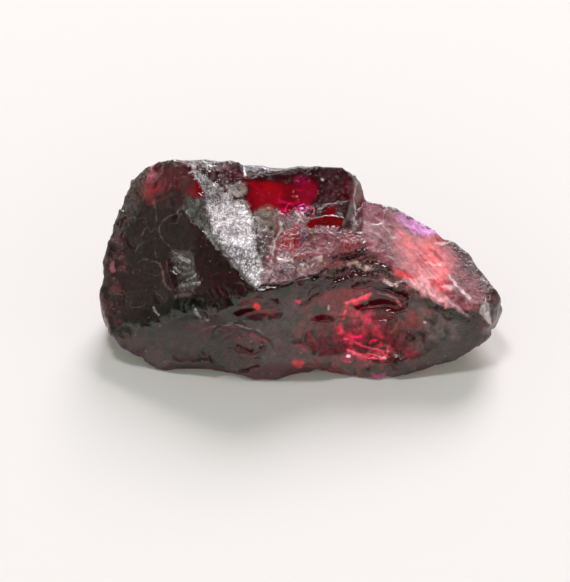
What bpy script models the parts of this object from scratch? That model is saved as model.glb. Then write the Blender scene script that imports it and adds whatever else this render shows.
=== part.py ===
"""Painite crystal: one broken piece of dark red rough, about 40 mm long, on its flat underside.

Lengths are in millimetres until the mesh is finished, then it is scaled to metres.
+X is the long way, towards the thin nose. -Y is the front. +Z is up.
A facet is a plane that cuts the stone: where it looks (heading round Z from +X, rise above level,
both in degrees) and one point that it passes through.
"""

import math
import random

import bmesh
import bpy
from mathutils import Matrix, Vector

MM = 0.001
BLOCK = 80.0  # edge of the raw block that every cut starts from
MERGE = 0.002  # points closer than this become one
GLASS_RED = (0.16, 0.012, 0.02, 1.0)
GLASS_ROUGHNESS = 0.12

# corners that several facets share
PEAK = (-10.6, 6.4, 14.0)  # where the left face, the silver head and the block's top meet
BEND = (-9.0, 0.33, 11.07)  # where the silver head and the silver face meet the left face
BROW = (-4.3, -6.4, 9.6)  # the silver face's lowest tip, on the front ridge
SADDLE = (6.4, -1.6, 10.3)  # the back of the front hollow's ridge
SLOPE_HEAD = (6.4, -1.3, 10.0)

# the convex outside: name, heading, rise, point passed through
OUTER_FACETS = (
    ("rest face", 0, -90, (0.0, 0.0, 0.0)),
    ("block top", -60, 87, (-10.6, 7.8, 14.05)),
    ("back", 87, 8, (0.0, 7.85, 13.4)),
    ("back lower", 80, -28, (0.0, 9.4, 5.5)),
    ("back foot left", 125, -30, (-12.0, 8.0, 4.0)),
    ("left face", -130, 52, PEAK),
    ("left inner face", -125, 53.5, (-9.9, -1.8, 9.4)),
    ("left shoulder", 165, 45, (-15.5, 8.6, 12.1)),
    ("left end high", 154, -4, (-17.1, 7.6, 11.5)),
    ("left end", 170, -8, (-19.6, 1.5, 6.5)),
    ("left end front", -168, -6, (-20.1, -1.2, 4.8)),
    ("left foot", -150, -18, (-19.0, -5.0, 2.9)),
    ("left heel", -120, -36, (-16.9, -7.0, 0.65)),
    ("front left", -106, 14, (-13.4, -7.8, 0.3)),
    ("front middle", -92, 16.5, BROW),
    ("front right", -80, 20, (13.6, -8.1, 1.0)),
    ("right heel", -66, -47, (13.6, -8.2, 1.1)),
    ("front toe", -60, -8, (16.4, -7.3, 2.2)),
    ("nose end", -20, 0, (19.5, -4.1, 5.2)),
    ("nose under", -42, -34, (18.6, -6.6, 2.8)),
    ("nose tip", 20, 30, (19.4, -2.4, 6.5)),
    ("nose cheek", -50, 36, (18.5, -5.5, 5.2)),
    ("back slope", 62, 8, (14.0, 3.15, 8.4)),
    ("back nose", 30, 12, (18.6, -1.3, 6.5)),
    ("keel right", 4, -70, (12.0, -4.0, 0.0)),
    ("keel left", -172, -64, (-15.4, 0.0, 0.0)),
    ("keel back", 76, -60, (0.0, 6.4, 0.0)),
    ("keel back right", 40, -66, (9.0, 2.0, 0.0)),
)

# the steps broken out of the convex outside: each is what lies outside all of its facets
WINDOW = ("window", -84, 64.5, (0.0, 7.2, 13.35))
SILVER_END = ("silver end", 180, 10, (-2.3, 0.0, 11.0))
STEPS = (
    (WINDOW, ("silver head", -81, 62, BEND), ("silver face", -100.3, 71.1, BEND), SILVER_END),
    (WINDOW, ("silver skirt", -20, 66, (-4.5, 0.0, 11.17)), SILVER_END),
    (WINDOW, ("middle", -90, 78.7, BROW), ("riser", 0, 45, (-4.5, 0.0, 11.2))),
    (("column", -24, 32, (4.3, 5.9, 13.9)), ("right slope", -27, 72, SLOPE_HEAD)),
    (("hollow left", -66, 32, BROW), ("hollow right", -103, 35, SADDLE)),
    (("ledge floor", -75, 82, (2.2, -4.0, 9.6)), ("ledge wall", -62, 25, (2.4, -2.6, 9.9))),
    (("notch back", 87, 6, (6.3, 5.4, 11.0)), ("notch side", 10, 8, (6.1, 6.5, 12.0))),
    (("top ledge", -175, 87.5, (0.0, 7.85, 13.35)), ("top riser", 5, 30, (-6.2, 8.0, 14.0))),
)

# shell-shaped hollows: name, heading and rise of the mouth, its middle, radius, depth,
# and how far the hollow stretches across and up the mouth
SCOOPS = (
    ("front hollow", -86, 34, (6.6, -5.2, 5.2), 7.0, 0.9, 1.5, 1.1),
    ("hollow lens", -88, 40, (7.8, -4.2, 6.9), 3.0, 0.9, 1.8, 0.7),
    ("rim hollow middle", -90, -20, (1.8, -9.2, 0.5), 5.0, 1.0, 1.3, 1.0),
    ("rim hollow left", -100, -20, (-8.7, -9.05, 0.1), 5.0, 1.2, 1.7, 1.0),
    ("front chip", -94, 14, (-6.7, -8.0, 3.6), 5.0, 0.7, 1.4, 0.9),
    ("front flake", -96, 20, (-11.9, -6.9, 3.6), 9.0, 0.5, 1.3, 0.8),
    ("brow hollow", -92, 22, (-4.4, -7.0, 7.3), 2.6, 0.6, 1.6, 0.7),
    ("left shell", -130, 52, (-11.6, -2.4, 8.2), 5.0, 0.15, 1.0, 1.3),
    ("middle bowl", -90, 79, (1.6, -1.6, 10.6), 7.0, 0.4, 1.5, 0.9),
    ("slope bowl", -27, 72, (12.6, -1.4, 8.2), 12.0, 0.15, 1.4, 0.9),
    ("back shell", 88, -4, (-5.0, 9.2, 7.5), 8.0, 1.1, 1.5, 1.0),
    ("back block shell", 80, -10, (3.2, 8.4, 6.0), 5.0, 0.8, 1.2, 1.3),
    ("back slope shell", 60, 5, (12.4, 4.6, 5.5), 7.0, 1.0, 1.3, 0.9),
    ("left end shell", 172, -14, (-19.4, 2.6, 4.6), 6.0, 0.6, 1.0, 1.0),
)


# flake scars along the ridges: name, from, to, heading and rise they open towards, how many
CHIPPED_EDGES = (
    ("back crest", (-13.0, 8.4, 13.9), (4.4, 7.6, 13.6), 80, 50, 4),
    ("brow ridge", (-3.2, -5.9, 9.7), (5.6, -1.9, 10.2), -66, 55, 4),
    ("saddle ridge", (7.6, -2.2, 9.6), (17.6, -5.8, 5.8), -82, 50, 4),
    ("back keel", (-10.0, 8.6, 7.0), (12.0, 4.6, 5.0), 86, -6, 5),
    ("left keel", (-19.6, 1.0, 4.0), (-14.0, 7.6, 5.0), 140, -8, 2),
)
CHIP_RADIUS = (3.0, 6.0)
CHIP_DEPTH = (0.15, 0.4)
CHIP_STRETCH = (0.7, 1.3)
CHIP_TURN = 25.0  # the most that a chip looks away from its edge's own direction
CHIP_SEED = 7


def facetNormal(heading, rise):
    heading, rise = math.radians(heading), math.radians(rise)
    level = math.cos(rise)
    return Vector((level * math.cos(heading), level * math.sin(heading), math.sin(rise)))


def newObject(name, mesh, collection):
    obj = bpy.data.objects.new(name, mesh)
    collection.objects.link(obj)
    return obj


def cutBlock(name, facets, keepInside):
    """A mesh of the raw block after a flat cut at each facet, kept inside or outside all of them."""
    bm = bmesh.new()
    bmesh.ops.create_cube(bm, size=BLOCK)
    for _, heading, rise, point in facets:
        everything = bm.verts[:] + bm.edges[:] + bm.faces[:]
        cut = bmesh.ops.bisect_plane(
            bm, geom=everything, plane_co=point, plane_no=facetNormal(heading, rise),
            clear_outer=keepInside, clear_inner=not keepInside)
        rim = [item for item in cut["geom_cut"] if isinstance(item, bmesh.types.BMEdge)]
        if rim:
            bmesh.ops.edgenet_fill(bm, edges=rim)
    bmesh.ops.recalc_face_normals(bm, faces=bm.faces)
    mesh = bpy.data.meshes.new(name)
    bm.to_mesh(mesh)
    bm.free()
    return mesh


def makeScoop(name, heading, rise, mouth, radius, depth, across, upward, fineness=4):
    """An egg-shaped ball whose lowest part, depth deep, lies inside the stone at the mouth."""
    outward = facetNormal(heading, rise)
    turn = outward.to_track_quat("Z", "Y").to_matrix().to_4x4()
    centre = Vector(mouth) + outward * (radius - depth)
    bm = bmesh.new()
    bmesh.ops.create_icosphere(bm, subdivisions=fineness, radius=radius)
    bmesh.ops.scale(bm, vec=(across, upward, 1.0), verts=bm.verts)
    bmesh.ops.transform(bm, matrix=Matrix.Translation(centre) @ turn, verts=bm.verts)
    mesh = bpy.data.meshes.new(name)
    bm.to_mesh(mesh)
    bm.free()
    return mesh


def cutAway(stone, mesh, collection):
    """Takes the cutter out of the stone, then merges the points that the cut left on top of each other."""
    cutter = newObject(mesh.name, mesh, collection)
    cutter.hide_render = True
    cutter.display_type = "WIRE"
    cut = stone.modifiers.new(mesh.name, "BOOLEAN")
    cut.operation = "DIFFERENCE"
    cut.solver = "EXACT"
    cut.object = cutter
    graph = bpy.context.evaluated_depsgraph_get()
    result = bpy.data.meshes.new_from_object(stone.evaluated_get(graph))
    stone.modifiers.clear()
    bm = bmesh.new()
    bm.from_mesh(result)
    bmesh.ops.remove_doubles(bm, verts=bm.verts, dist=MERGE)
    bmesh.ops.dissolve_degenerate(bm, edges=bm.edges, dist=MERGE)
    bm.to_mesh(result)
    bm.free()
    stone.data = result


def chipEdge(stone, collection, dice, name, start, end, heading, rise, count):
    """Breaks small chips out of the stone, evenly along the line from start to end and uneven in size."""
    start, end = Vector(start), Vector(end)
    for number in range(count):
        along = (number + dice.uniform(0.2, 0.8)) / count
        mouth = stone.closest_point_on_mesh(start.lerp(end, along))[1]
        chip = makeScoop(
            f"{name} chip {number}", heading + dice.uniform(-CHIP_TURN, CHIP_TURN),
            rise + dice.uniform(-CHIP_TURN, CHIP_TURN), mouth, dice.uniform(*CHIP_RADIUS),
            dice.uniform(*CHIP_DEPTH), dice.uniform(*CHIP_STRETCH), dice.uniform(*CHIP_STRETCH), 3)
        cutAway(stone, chip, collection)


def makeGlass():
    glass = bpy.data.materials.new("painite")
    glass.use_nodes = True
    shader = glass.node_tree.nodes["Principled BSDF"]
    shader.inputs["Base Color"].default_value = GLASS_RED
    shader.inputs["Roughness"].default_value = GLASS_ROUGHNESS
    shader.inputs["Metallic"].default_value = 0.0
    return glass


def finishStone(stone):
    """Puts the origin under the middle of the box, and turns millimetres into metres."""
    mesh = stone.data
    low = Vector([min(v.co[i] for v in mesh.vertices) for i in range(3)])
    high = Vector([max(v.co[i] for v in mesh.vertices) for i in range(3)])
    middle = (low + high) / 2
    mesh.transform(Matrix.Translation((-middle.x, -middle.y, -low.z)))
    mesh.transform(Matrix.Scale(MM, 4))


def main():
    for obj in list(bpy.data.objects):
        bpy.data.objects.remove(obj, do_unlink=True)
    crystal = bpy.data.collections.new("painite_crystal")
    cutters = bpy.data.collections.new("cutters")
    cutters.hide_render = True
    for collection in (crystal, cutters):
        bpy.context.scene.collection.children.link(collection)

    stone = newObject("painite_crystal", cutBlock("painite_crystal", OUTER_FACETS, True), crystal)
    for number, facets in enumerate(STEPS):
        cutAway(stone, cutBlock(f"step {number}", facets, False), cutters)
    for scoop in SCOOPS:
        cutAway(stone, makeScoop(*scoop), cutters)
    dice = random.Random(CHIP_SEED)
    for edge in CHIPPED_EDGES:
        chipEdge(stone, cutters, dice, *edge)
    finishStone(stone)
    stone.data.materials.clear()
    stone.data.materials.append(makeGlass())


main()
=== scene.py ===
import math
import random

import bmesh
import bpy
import numpy as np
from mathutils import Matrix, Vector, noise
from mathutils.bvhtree import BVHTree


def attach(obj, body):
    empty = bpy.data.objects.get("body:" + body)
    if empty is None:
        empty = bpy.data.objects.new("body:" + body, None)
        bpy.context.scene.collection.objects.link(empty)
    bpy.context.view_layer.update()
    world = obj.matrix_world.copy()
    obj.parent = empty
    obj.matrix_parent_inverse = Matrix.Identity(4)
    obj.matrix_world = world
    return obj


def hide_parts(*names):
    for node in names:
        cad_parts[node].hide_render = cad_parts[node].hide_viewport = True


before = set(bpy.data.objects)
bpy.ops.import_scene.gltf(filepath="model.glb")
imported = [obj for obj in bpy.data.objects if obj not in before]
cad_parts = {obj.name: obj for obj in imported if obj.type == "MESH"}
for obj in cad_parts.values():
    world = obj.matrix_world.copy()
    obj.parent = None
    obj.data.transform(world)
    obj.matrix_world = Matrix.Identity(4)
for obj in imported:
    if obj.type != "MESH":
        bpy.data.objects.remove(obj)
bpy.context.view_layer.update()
print("frame loaded")

mm = 0.001

# a screen point is one step across or down in the camera's view
view = {
    "elevation": 42.0,
    "perMm": 10.1,                 # screen points to a millimetre
    "zero": (301.08, 317.43),      # where the origin lands on the screen
    "centre": (285.0, 291.0),
    "height": 582.0,
    "lens": 800.0,
    "sensor": 36.0,
    "clip": (0.01, 20.0),
    "bounces": 20,
    "glossyBounces": 12,
}

tilt = math.radians(view["elevation"])
viewUp = Vector((0.0, math.sin(tilt), math.cos(tilt)))
viewBack = Vector((0.0, -math.cos(tilt), math.sin(tilt)))


def screenOf(points):
    across = view["zero"][0] + view["perMm"] * points[:, 0]
    down = view["zero"][1] - view["perMm"] * (points @ np.array(viewUp))
    return np.column_stack([across, down])


def addObject(name, data):
    obj = bpy.data.objects.new(name, data)
    bpy.context.scene.collection.objects.link(obj)
    return obj


def addCamera():
    camData = bpy.data.cameras.new("camera")
    camData.lens = view["lens"]
    camData.sensor_width = view["sensor"]
    camData.clip_start, camData.clip_end = view["clip"]
    cam = addObject("camera", camData)
    away = view["height"] / view["perMm"] * mm * view["lens"] / view["sensor"]
    across = (view["centre"][0] - view["zero"][0]) / view["perMm"] * mm
    up = (view["zero"][1] - view["centre"][1]) / view["perMm"] * mm
    cam.location = Vector((across, 0.0, 0.0)) + viewUp * up + viewBack * away
    cam.rotation_euler = (math.pi / 2 - tilt, 0.0, 0.0)
    bpy.context.scene.camera = cam


addCamera()
bpy.context.scene.view_settings.view_transform = "Standard"
bpy.context.scene.cycles.max_bounces = view["bounces"]
bpy.context.scene.cycles.glossy_bounces = view["glossyBounces"]
bpy.context.scene.cycles.transmission_bounces = view["bounces"]
print("camera set")

# lengths are in millimetres, depths and waves of chips and flakes are shares of their own size
skin = {
    "voxel": 0.255,
    "frontFrom": 0.12,             # how far a face turns to the front before it gets the finer skin
    "ridgeRounds": 30,
    "ridgeFrom": 0.04,
    "edgeChips": 800,
    "chipRadius": (0.2, 0.5),
    "chipDepth": (0.06, 0.14),
    "chipLean": 0.2,
    "chipRipple": 0.12,
    "chipWave": 0.45,
    "bowlEvery": 3,                # one chip in so many is a bowl, the others are flat
    "bowlNear": 1.3,
    "bowlFacing": 0.25,            # how far a point has to face the cut before it moves
    "flatFacing": 0.2,
    "mostPush": 0.2,               # what a bowl may cut beyond twice its depth
    "flatReach": 1.8,
    "bigChips": 18,
    "bigRadius": (0.6, 1.1),
    "easeRounds": 3,
    "faceFlakes": 60,
    "flakeRadius": (0.3, 1.0),
    "flakeDepth": (0.01, 0.03),
    "flakeLean": 0.05,
    "flakeRipple": 0.2,
    "flakeWave": 0.35,
    "hollowRounds": 12,
    "swell": 0.03,
    "swellPerMm": 0.22,
    "grain": 0.005,
    "grainPerMm": 1.6,
    "hiddenSaw": 0.08,
    "hiddenSteps": 2.0,
    "hiddenSawPerMm": 0.3,
    "seenFacing": 0.05,            # how far a point has to face the camera to be painted
    "seenLift": (0.12, 0.3),       # off the surface and toward the camera, before it looks out
    "rayFrom": 60.0,
    "areaWarp": (0.7, 4.0),        # waves to a millimetre and reach in screen points
    "markWarp": (1.2, 1.6),
    "markEdge": 0.9,
    "seed": 11,
}

# screen outlines inside which the edges stay whole
calm = {
    "block top": [(232, 150), (372, 150), (374, 250), (343, 250), (330, 182), (234, 178)],
    "slope rim": [(370, 190), (400, 195), (440, 215), (440, 240), (400, 225), (372, 222)],
    "foot": [(150, 355), (310, 355), (310, 400), (150, 400)],
}

# shell-like flakes: place on the screen, then radius, depth, ripple and wave in millimetres
hollows = {
    "front flake": ((236, 346), 2.7, 0.34, 0.04, 0.6),
    "front flake right": ((262, 352), 1.6, 0.22, 0.03, 0.5),
    "left shell": ((182, 262), 1.3, 0.2, 0.08, 0.55),
    "left shell low": ((190, 281), 1.0, 0.16, 0.06, 0.45),
    "lens": ((381, 304), 1.7, 0.34, 0.02, 0.6),
    "right hollow": ((430, 343), 2.4, 0.2, 0.03, 0.7),
    "foot hollow": ((150, 346), 2.4, 0.18, 0.03, 0.7),
    "middle shell": ((284, 246), 1.7, 0.2, 0.06, 0.5),
    "middle ledge": ((310, 262), 1.6, 0.2, 0.06, 0.45),
    "brow shell": ((342, 262), 1.5, 0.26, 0.06, 0.45),
}

# how the ripples of a shell-like flake start from its rim, bend and fade
ripples = {
    "rimShare": 0.9,
    "rimAlong": (0.3, 0.5, 0.8),
    "bend": 0.8,
    "bendPerMm": 0.9,
    "fade": (0.4, 1.6),
    "fadePerMm": 0.6,
}


def readVectors(items, name):
    values = np.empty(len(items) * 3)
    items.foreach_get(name, values)
    return values.reshape(-1, 3)


def readPoints(mesh):
    return readVectors(mesh.vertices, "co")


def readNormals(mesh):
    return readVectors(mesh.vertex_normals, "vector")


def readEdges(mesh):
    edges = np.empty(len(mesh.edges) * 2, np.int32)
    mesh.edges.foreach_get("vertices", edges)
    return edges.reshape(-1, 2)


def writePoints(mesh, points):
    mesh.vertices.foreach_set("co", points.astype(np.float32).ravel())
    mesh.update()


def smoothed(values, edges, rounds, factor=0.5):
    count = len(values)
    first, second = edges[:, 0], edges[:, 1]
    degree = np.bincount(first, minlength=count) + np.bincount(second, minlength=count)
    for _ in range(rounds):
        total = np.empty_like(values)
        for axis in range(values.shape[1]):
            total[:, axis] = np.bincount(first, values[second, axis], count)
            total[:, axis] += np.bincount(second, values[first, axis], count)
        values = values + factor * (total / degree[:, None] - values)
    return values


def unit(vectors):
    return vectors / np.maximum(np.linalg.norm(vectors, axis=-1, keepdims=True), 1e-9)


# each call of a noise has its own shift, so that no two patterns match
def noiseAt(points, perMm, shift=0.0):
    move = Vector((shift, shift * 1.7, shift * 0.3))
    return np.array([noise.noise(Vector(p) * perMm + move) for p in points.tolist()])


def cloudAt(points, perMm, octaves, shift=0.0):
    move = Vector((shift, shift * 1.7, shift * 0.3))
    return np.array([noise.fractal(Vector(p) * perMm + move, 1.0, 2.0, octaves)
                     for p in points.tolist()])


def sawAt(points, perMm, steps, shift):
    level = cloudAt(points, perMm, 2, shift) * steps
    return level - np.floor(level)


def warpAt(points, perMm, reach):
    clouds = [cloudAt(points, perMm, 3, shift) for shift in (4.0, 17.0)]
    return np.column_stack(clouds) * reach


def cadCopy(name):
    bm = bmesh.new()
    bm.from_mesh(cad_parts["painite_crystal"].data)
    bmesh.ops.remove_doubles(bm, verts=bm.verts, dist=1e-6)
    bmesh.ops.scale(bm, vec=(1.0 / mm, 1.0 / mm, 1.0 / mm), verts=bm.verts)
    mesh = bpy.data.meshes.new(name)
    bm.to_mesh(mesh)
    tree = BVHTree.FromBMesh(bm)
    bm.free()
    return addObject(name, mesh), tree


def fineSkin(obj):
    remesh = obj.modifiers.new("fine skin", "REMESH")
    remesh.mode = "VOXEL"
    remesh.voxel_size = skin["voxel"]
    graph = bpy.context.evaluated_depsgraph_get()
    fine = bpy.data.meshes.new_from_object(obj.evaluated_get(graph))
    obj.modifiers.clear()
    old = obj.data
    obj.data = fine
    bpy.data.meshes.remove(old)


def settle(mesh, tree):
    points = readPoints(mesh)
    for index, p in enumerate(points.tolist()):
        points[index] = tree.find_nearest(Vector(p))[0]
    writePoints(mesh, points)


def refineFront(mesh):
    front = readNormals(mesh) @ np.array(viewBack) > skin["frontFrom"]
    bm = bmesh.new()
    bm.from_mesh(mesh)
    bm.verts.ensure_lookup_table()
    chosen = [edge for edge in bm.edges if all(front[vert.index] for vert in edge.verts)]
    bmesh.ops.subdivide_edges(bm, edges=chosen, cuts=1, use_grid_fill=True)
    bmesh.ops.triangulate(bm, faces=[face for face in bm.faces if len(face.verts) > 4])
    bm.to_mesh(mesh)
    bm.free()


def buildSkin():
    stone, cadTree = cadCopy("crystal")
    fineSkin(stone)
    settle(stone.data, cadTree)
    refineFront(stone.data)
    settle(stone.data, cadTree)
    triangles = sum(len(face.vertices) - 2 for face in stone.data.polygons)
    print("fine skin:", len(stone.data.vertices), "points,", triangles, "triangles")
    return stone


def carveBowl(points, normals, centre, outward, radius, depth, ripple, wave):
    ball = (radius * radius + depth * depth) / (2.0 * depth)
    near = np.flatnonzero(np.linalg.norm(points - centre, axis=1) < radius * skin["bowlNear"])
    near = near[normals[near] @ outward > skin["bowlFacing"]]
    offset = points[near] - (centre + outward * (ball - depth))
    along = offset @ outward
    side = np.maximum((offset * offset).sum(1) - along * along, 0.0)
    push = along + np.sqrt(np.maximum(ball * ball - side, 0.0))
    cut = (push > 0.0) & (side < radius * radius) & (push < 2.0 * depth + skin["mostPush"])
    push = push[cut]
    inside = near[cut]
    local = points[inside]
    rim = centre + radius * ripples["rimShare"] * unit(np.cross(outward, ripples["rimAlong"]))
    away = np.linalg.norm(local - rim, axis=1)
    away = away + ripples["bend"] * noiseAt(local, ripples["bendPerMm"], 12.0)
    start, gain = ripples["fade"]
    fade = np.clip(start + gain * noiseAt(local, ripples["fadePerMm"], 28.0), 0.0, 1.0)
    swing = ripple * fade * np.sin(2.0 * math.pi * away / wave) * np.minimum(push / depth, 1.0)
    points[inside] -= (push + swing)[:, None] * outward


def shaveFlat(points, normals, centre, outward, reach):
    near = np.flatnonzero(np.linalg.norm(points - centre, axis=1) < reach)
    near = near[normals[near] @ outward > skin["flatFacing"]]
    above = np.maximum((points[near] - centre) @ outward, 0.0)
    points[near] -= above[:, None] * outward


def leaning(normal, dice, spread):
    lean = Vector([dice.gauss(0.0, spread) for _ in range(3)])
    return np.array((Vector(normal) + lean).normalized())


def chipEdges(stone, dice):
    mesh = stone.data
    edges = readEdges(mesh)
    points = readPoints(mesh)
    soft = smoothed(points, edges, skin["ridgeRounds"])
    writePoints(mesh, soft)
    normals = readNormals(mesh)
    ridge = ((points - soft) * normals).sum(1)
    spots = screenOf(points)
    whole = np.zeros(len(points), bool)
    for outline in calm.values():
        whole |= nearestOnLine(spots, outline, True)[2]
    sharp = np.flatnonzero((ridge > skin["ridgeFrom"]) & ~whole)
    print("sharp points:", len(sharp))
    for turn in range(skin["edgeChips"] + skin["bigChips"]):
        at = sharp[dice.randrange(len(sharp))]
        big = turn < skin["bigChips"]
        radius = dice.uniform(*skin["bigRadius" if big else "chipRadius"])
        depth = dice.uniform(*skin["chipDepth"]) * radius
        outward = leaning(normals[at], dice, skin["chipLean"])
        centre = points[at].copy()
        if turn % skin["bowlEvery"] == 0:
            ripple, wave = depth * skin["chipRipple"], radius * skin["chipWave"]
            carveBowl(points, normals, centre, outward, radius, depth, ripple, wave)
        else:
            reach = radius * skin["flatReach"]
            shaveFlat(points, normals, centre - outward * depth, outward, reach)
    writePoints(mesh, smoothed(points, edges, skin["easeRounds"]))


def flakeFaces(stone, dice):
    mesh = stone.data
    points = readPoints(mesh)
    normals = readNormals(mesh)
    polished = nearestOnLine(screenOf(points), shapes["window"]["at"], True)[2]
    for _ in range(skin["faceFlakes"]):
        at = dice.randrange(len(points))
        if polished[at]:
            continue
        radius = dice.uniform(*skin["flakeRadius"])
        depth = dice.uniform(*skin["flakeDepth"])
        outward = leaning(normals[at], dice, skin["flakeLean"])
        centre = points[at].copy()
        ripple, wave = depth * skin["flakeRipple"], skin["flakeWave"]
        carveBowl(points, normals, centre, outward, radius, depth, ripple, wave)
    writePoints(mesh, points)


def openHollows(stone):
    mesh = stone.data
    tree = BVHTree.FromObject(stone, bpy.context.evaluated_depsgraph_get())
    points = readPoints(mesh)
    normals = readNormals(mesh)
    soft = unit(smoothed(normals, readEdges(mesh), skin["hollowRounds"]))
    for (across, down), radius, depth, ripple, wave in hollows.values():
        start = Vector(((across - view["zero"][0]) / view["perMm"], 0.0, 0.0))
        start += viewBack * skin["rayFrom"]
        start += viewUp * (view["zero"][1] - down) / view["perMm"]
        centre = np.array(tree.ray_cast(start, -viewBack)[0])
        outward = soft[np.argmin(np.linalg.norm(points - centre, axis=1))]
        carveBowl(points, normals, centre, outward, radius, depth, ripple, wave)
    writePoints(mesh, points)


def frontPoints(stone, points, normals):
    toCamera = np.array(viewBack)
    facing = normals @ toCamera > skin["seenFacing"]
    off, toward = skin["seenLift"]
    tree = BVHTree.FromObject(stone, bpy.context.evaluated_depsgraph_get())
    for index in np.flatnonzero(facing):
        start = Vector(points[index] + normals[index] * off + toCamera * toward)
        if tree.ray_cast(start, viewBack)[0] is not None:
            facing[index] = False
    return facing


def nearestOnLine(spots, corners, closed):
    corners = np.array(corners, float)
    ends = np.roll(corners, -1, axis=0) if closed else corners[1:]
    nearest = np.full(len(spots), 1e9)
    side = np.zeros(len(spots))
    inside = np.zeros(len(spots), bool)
    for start, end in zip(corners, ends):
        edge = end - start
        offset = spots - start
        share = np.clip((offset @ edge) / (edge @ edge), 0.0, 1.0)
        gap = np.linalg.norm(offset - share[:, None] * edge, axis=1)
        below = (edge[0] * offset[:, 1] - edge[1] * offset[:, 0]) / np.linalg.norm(edge)
        closer = gap < nearest
        nearest = np.where(closer, gap, nearest)
        side = np.where(closer, below, side)
        if closed:
            rise = edge[1] if abs(edge[1]) > 1e-9 else 1e-9
            crosses = (start[1] > spots[:, 1]) != (end[1] > spots[:, 1])
            inside ^= crosses & (spots[:, 0] < edge[0] * (spots[:, 1] - start[1]) / rise + start[0])
    return nearest, side, inside


def maskOn(flat, warp, facing, entry):
    spots = flat + warp * entry.get("warp", 1.0)
    corners = np.array(entry["at"], float)
    reach = entry["soft"] if "soft" in entry else entry["width"]
    boxed = (spots > corners.min(0) - reach) & (spots < corners.max(0) + reach)
    near = np.flatnonzero(boxed.all(1) & facing)
    gap, side, inside = nearestOnLine(spots[near], corners, "soft" in entry)
    if "soft" in entry:
        return near, np.clip(np.where(inside, gap, -gap) / reach + 0.5, 0.0, 1.0), None
    half = entry["width"] / 2.0
    mask = np.clip((half - gap) / skin["markEdge"] + 0.5, 0.0, 1.0)
    return near, mask, np.clip(side / half * 0.5 + 0.5, 0.0, 1.0)


def roughen(stone):
    mesh = stone.data
    points = readPoints(mesh)
    normals = readNormals(mesh)
    facing = frontPoints(stone, points, normals)
    move = cloudAt(points, skin["swellPerMm"], 3, 3.0) * skin["swell"]
    move += cloudAt(points, skin["grainPerMm"], 2, 9.0) * skin["grain"]
    flat = screenOf(points)
    warp = warpAt(points, *skin["areaWarp"])
    for turn, entry in enumerate(shapes.values()):
        near, mask, _ = maskOn(flat, warp, facing, entry)
        local = points[near]
        bump = cloudAt(local, entry["perMm"], 3, 20.0 + turn) * entry["grain"]
        if "saw" in entry:
            saw = sawAt(local, entry["sawPerMm"], entry["steps"], 40.0 + turn)
            bump = bump - saw * entry["saw"]
        move[near] += bump * mask
        move[near] *= 1.0 - mask * entry.get("calm", 0.0)
    warp = warpAt(points, *skin["markWarp"])
    for entry in marks.values():
        if "dig" in entry or "tread" in entry:
            near, mask, across = maskOn(flat, warp, facing, entry)
            move[near] += mask * across * entry.get("tread", 0.0) - mask * entry.get("dig", 0.0)
    saw = sawAt(points, skin["hiddenSawPerMm"], skin["hiddenSteps"], 60.0)
    move -= np.where(facing, 0.0, saw * skin["hiddenSaw"])
    writePoints(mesh, points + normals * move[:, None])
    return facing


# outlines in screen points, each used for the paint and for the relief
# the facet that mirrors the top softbox
reflectionFace = [(193, 166), (197, 171), (201, 174), (209, 179), (216, 184), (226, 189), (231, 193),
              (235, 200), (244, 201), (254, 199), (249, 207), (251, 212), (254, 219), (256, 236),
              (256, 250), (262, 259), (264, 274), (260, 288), (254, 287), (241, 268), (227, 254),
              (214, 238), (212, 224), (207, 208), (205, 198), (202, 190), (197, 180)]
middleFace = [(276, 216), (300, 214), (345, 228), (368, 240), (372, 254), (320, 272), (290, 282),
              (262, 286), (266, 258), (275, 240)]
slopeFace = [(364, 204), (392, 210), (440, 236), (480, 280), (478, 312), (455, 308), (400, 276),
             (372, 256), (362, 236)]
frontFace = [(118, 335), (150, 322), (190, 305), (256, 292), (320, 282), (400, 286), (470, 320),
             (488, 340), (440, 368), (380, 384), (300, 382), (220, 376), (130, 362)]

clear = dict(foil=0.0, hair=0.0)
wine = dict(tint=(70, 6, 16), paintedLight=(38, 2, 9), haze=0.05, patchy=0.2, **clear)


# outline, softness of its edge, tint and painted light as a screen shows them; the painted light is
# an emission that stands in for light through the stone, reflections and highlights
def area(at, soft, tint=None, paintedLight=None, **more):
    return {"at": at, "soft": soft, "tint": tint, "paintedLight": paintedLight, **more}


# the same for a thin line; dig and tread are in millimetres, and a tread is a small tilted step
def line(at, width, tint=None, paintedLight=None, **more):
    return {"at": at, "width": width, "tint": tint, "paintedLight": paintedLight, **more}


# fine relief inside an outline, in millimetres, with saw-like steps where saw is given
def relief(at, soft, grain, perMm, **more):
    return {"at": at, "soft": soft, "grain": grain, "perMm": perMm, **more}


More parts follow.
